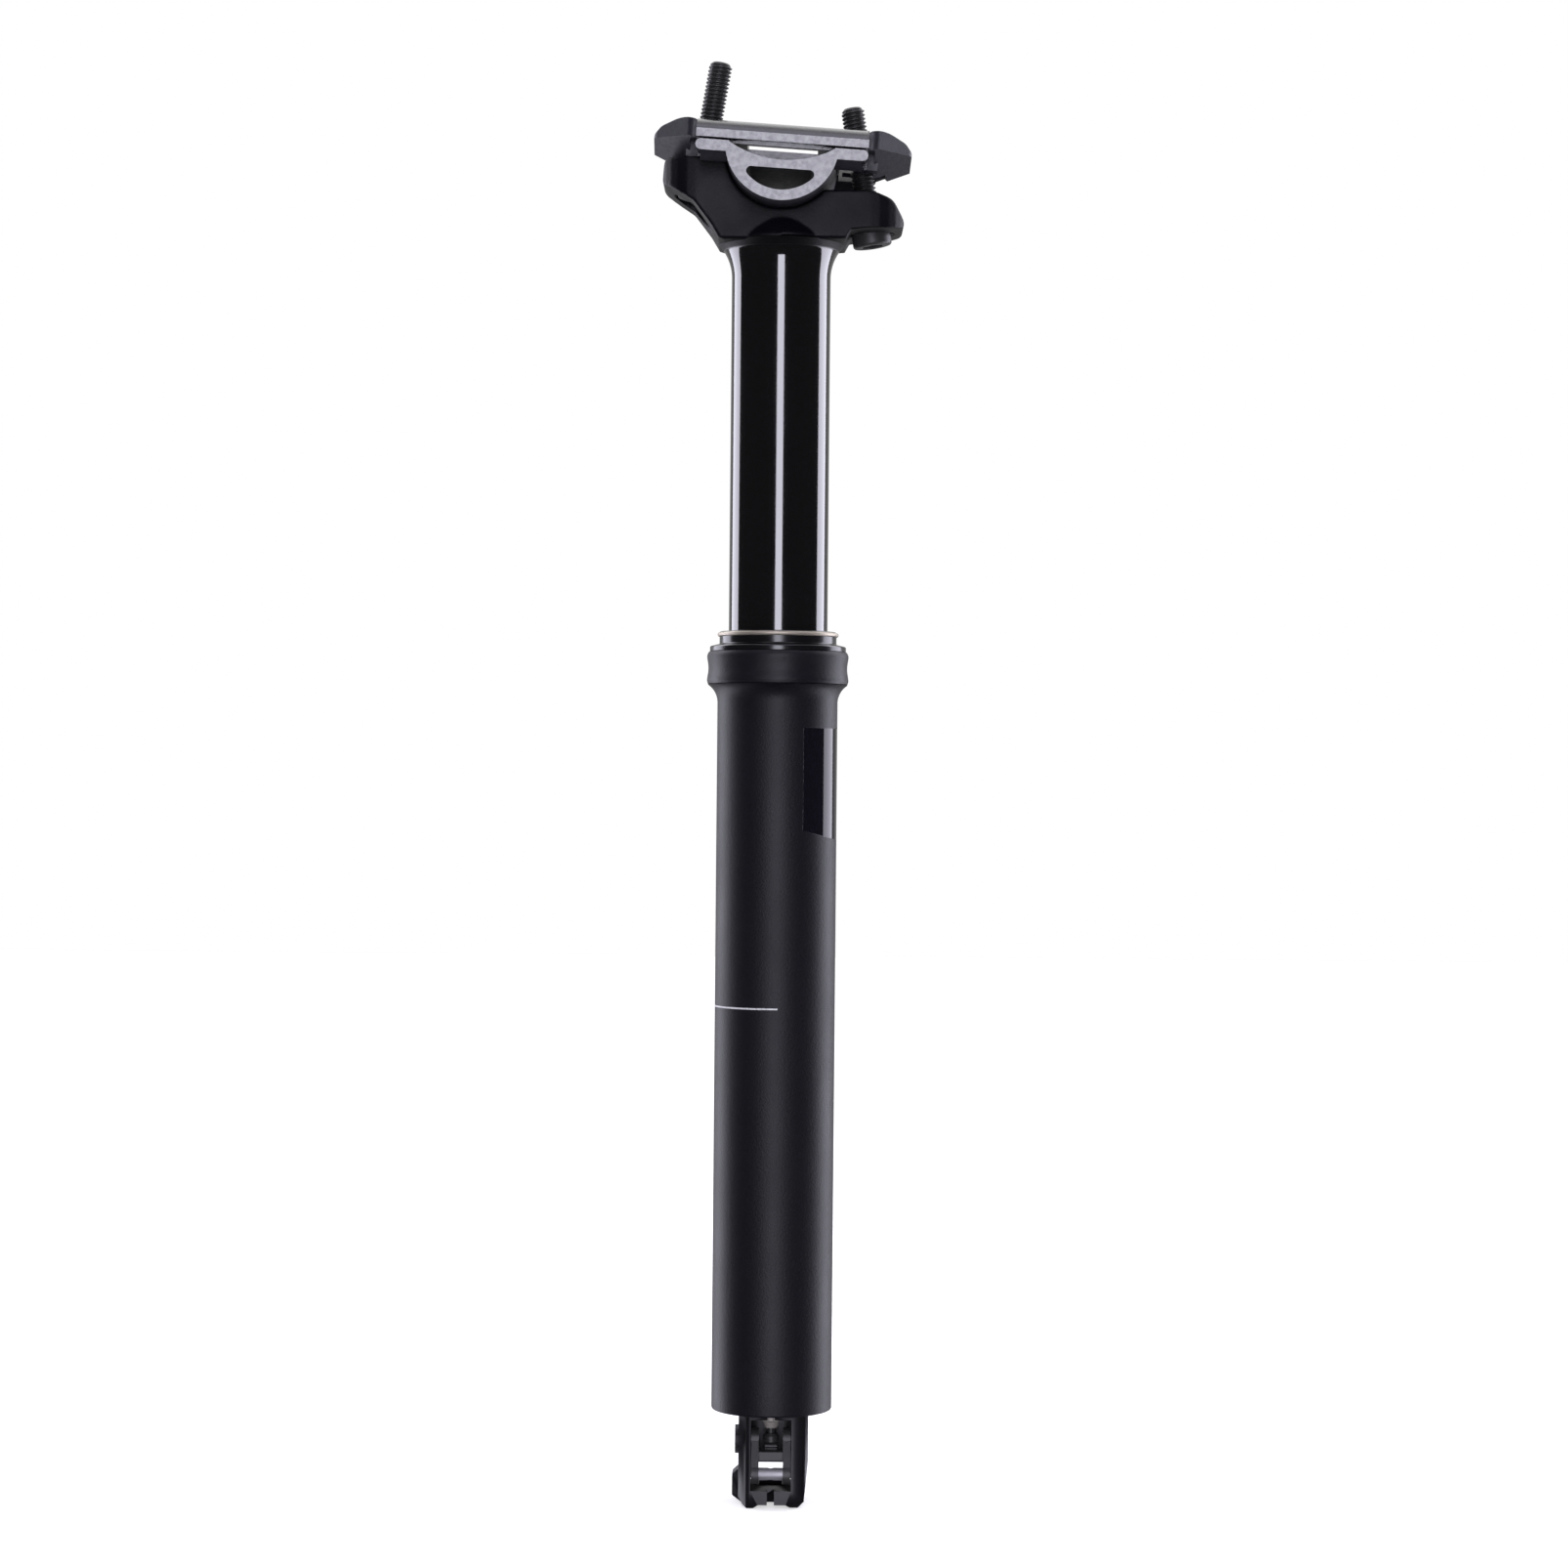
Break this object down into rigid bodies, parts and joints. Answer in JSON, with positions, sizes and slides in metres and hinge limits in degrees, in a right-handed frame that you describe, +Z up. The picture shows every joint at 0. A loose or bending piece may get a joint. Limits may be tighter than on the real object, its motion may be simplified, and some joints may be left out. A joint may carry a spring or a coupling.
{
  "type": "dropper seatpost",
  "caption": "Telescoping bicycle seatpost with a two-bolt tilting rail clamp, guide keys, a sealed lift cartridge and a cable-pulled release lever at its foot.",
  "frame": {"origin": "centre of the outer tube's bottom rim", "axes": "+Z up the post, +X to the front of the bicycle, +Y to its left"},
  "size_m": [0.066, 0.052, 0.3719],
  "materials": {
    "matte_black": "fine matte anodised or powder black",
    "gloss_black": "gloss black anodised tube, matte forged head",
    "clamp_black": "blasted black anodised, bare machined end faces",
    "machined_alloy": "bare machined end faces, black elsewhere",
    "black_alloy": "satin black anodised",
    "bright_alloy": "turned",
    "bright_steel": "turned",
    "shaft_nut_alloy": "dull turned",
    "bolt_black": "oiled black oxide",
    "bushing_polymer": "moulded",
    "key_brass": "milled",
    "seal_rubber": "smooth, slightly glossy"
  },
  "bodies": {
    "post": {"outer_tube": "matte_black", "seal_collar": "matte_black", "upper_bushing": "bushing_polymer", "wiper_seal": "seal_rubber", "wiper_spring": "bright_alloy", "base_plug": "bright_alloy", "bottom_bumper": "seal_rubber", "cartridge_rod": "bright_steel", "main_piston": "bright_alloy", "piston_seal": "seal_rubber", "shaft_nut": "shaft_nut_alloy", "actuator_housing": "black_alloy", "lever_pin": "bolt_black"},
    "slider": {"inner_tube": "gloss_black", "lower_bushing": "bushing_polymer", "guide_keys": "key_brass", "cartridge_tube": "bright_alloy", "cartridge_gland": "black_alloy", "gland_seal": "seal_rubber", "cartridge_cap": "black_alloy", "retaining_ring": "bright_steel"},
    "floating_piston": {"gas_piston": "bright_alloy", "gas_piston_ring": "seal_rubber"},
    "clamp": {"lower_cradle": "machined_alloy", "upper_clamp": "clamp_black"},
    "front_screw": {"front_bolt": "bolt_black", "front_washer": "bright_steel"},
    "rear_screw": {"rear_bolt": "bolt_black", "rear_washer": "bright_steel"},
    "front_barrel_nut": {"front_nut": "bright_steel"},
    "rear_barrel_nut": {"rear_nut": "bright_steel"},
    "lever": {"release_lever": "black_alloy"},
    "valve": {"valve_pin": "bolt_black"},
    "cable_anchor": {"cable_barrel": "bright_alloy", "cable_screw": "bolt_black"}
  },
  "joints": [
    {"name": "post_travel", "type": "slide", "parent": "post", "child": "slider", "axis": [0, 0, -1], "range_m": [0, 0.09], "stiffness_N_per_m": 150, "springref_m": -0.2},
    {"name": "gas_piston_travel", "type": "slide", "parent": "slider", "child": "floating_piston", "axis": [0, 0, 1], "range_m": [0, 0.0226]},
    {"name": "saddle_tilt", "type": "hinge", "parent": "slider", "child": "clamp", "pos_m": [0, 0, 0.32109], "axis": [0, 1, 0], "range_deg": [0, 15]},
    {"name": "front_bolt_swing", "type": "hinge", "parent": "slider", "child": "front_screw", "pos_m": [0.02365, 0, 0.29793], "axis": [0, 1, 0], "range_deg": [-3.1, 0.1]},
    {"name": "rear_bolt_swing", "type": "hinge", "parent": "slider", "child": "rear_screw", "pos_m": [-0.02214, 0, 0.30935], "axis": [0, 1, 0], "range_deg": [-0.1, 2]},
    {"name": "front_nut_turn", "type": "hinge", "parent": "clamp", "child": "front_barrel_nut", "pos_m": [0.01981, 0, 0.32222], "axis": [0, 1, 0], "range_deg": [-18.1, 0.1]},
    {"name": "rear_nut_turn", "type": "hinge", "parent": "clamp", "child": "rear_barrel_nut", "pos_m": [-0.0195, 0, 0.32476], "axis": [0, 1, 0], "range_deg": [-13.2, 0.1]},
    {"name": "lever_swing", "type": "hinge", "parent": "post", "child": "lever", "pos_m": [0, -0.0036, -0.0073], "axis": [1, 0, 0], "range_deg": [0, 18], "stiffness_Nm_per_rad": 0.02, "springref_deg": -11.46},
    {"name": "valve_lift", "type": "slide", "parent": "post", "child": "valve", "axis": [0, 0, 1], "range_m": [0, 0.00125]},
    {"name": "barrel_turn", "type": "hinge", "parent": "lever", "child": "cable_anchor", "pos_m": [0, -0.0076, -0.0156], "axis": [1, 0, 0], "range_deg": [-18.1, 0.1]}
  ],
  "couplings": [
    {"joint": "gas_piston_travel", "follows": "post_travel", "ratio": 0.25},
    {"joint": "front_bolt_swing", "follows": "saddle_tilt", "ratio": -0.202},
    {"joint": "rear_bolt_swing", "follows": "saddle_tilt", "ratio": 0.125},
    {"joint": "front_nut_turn", "follows": "saddle_tilt", "ratio": -1.202},
    {"joint": "rear_nut_turn", "follows": "saddle_tilt", "ratio": -0.875},
    {"joint": "valve_lift", "follows": "lever_swing", "m_per_rad": 0.0039},
    {"joint": "barrel_turn", "follows": "lever_swing", "ratio": -1}
  ]
}
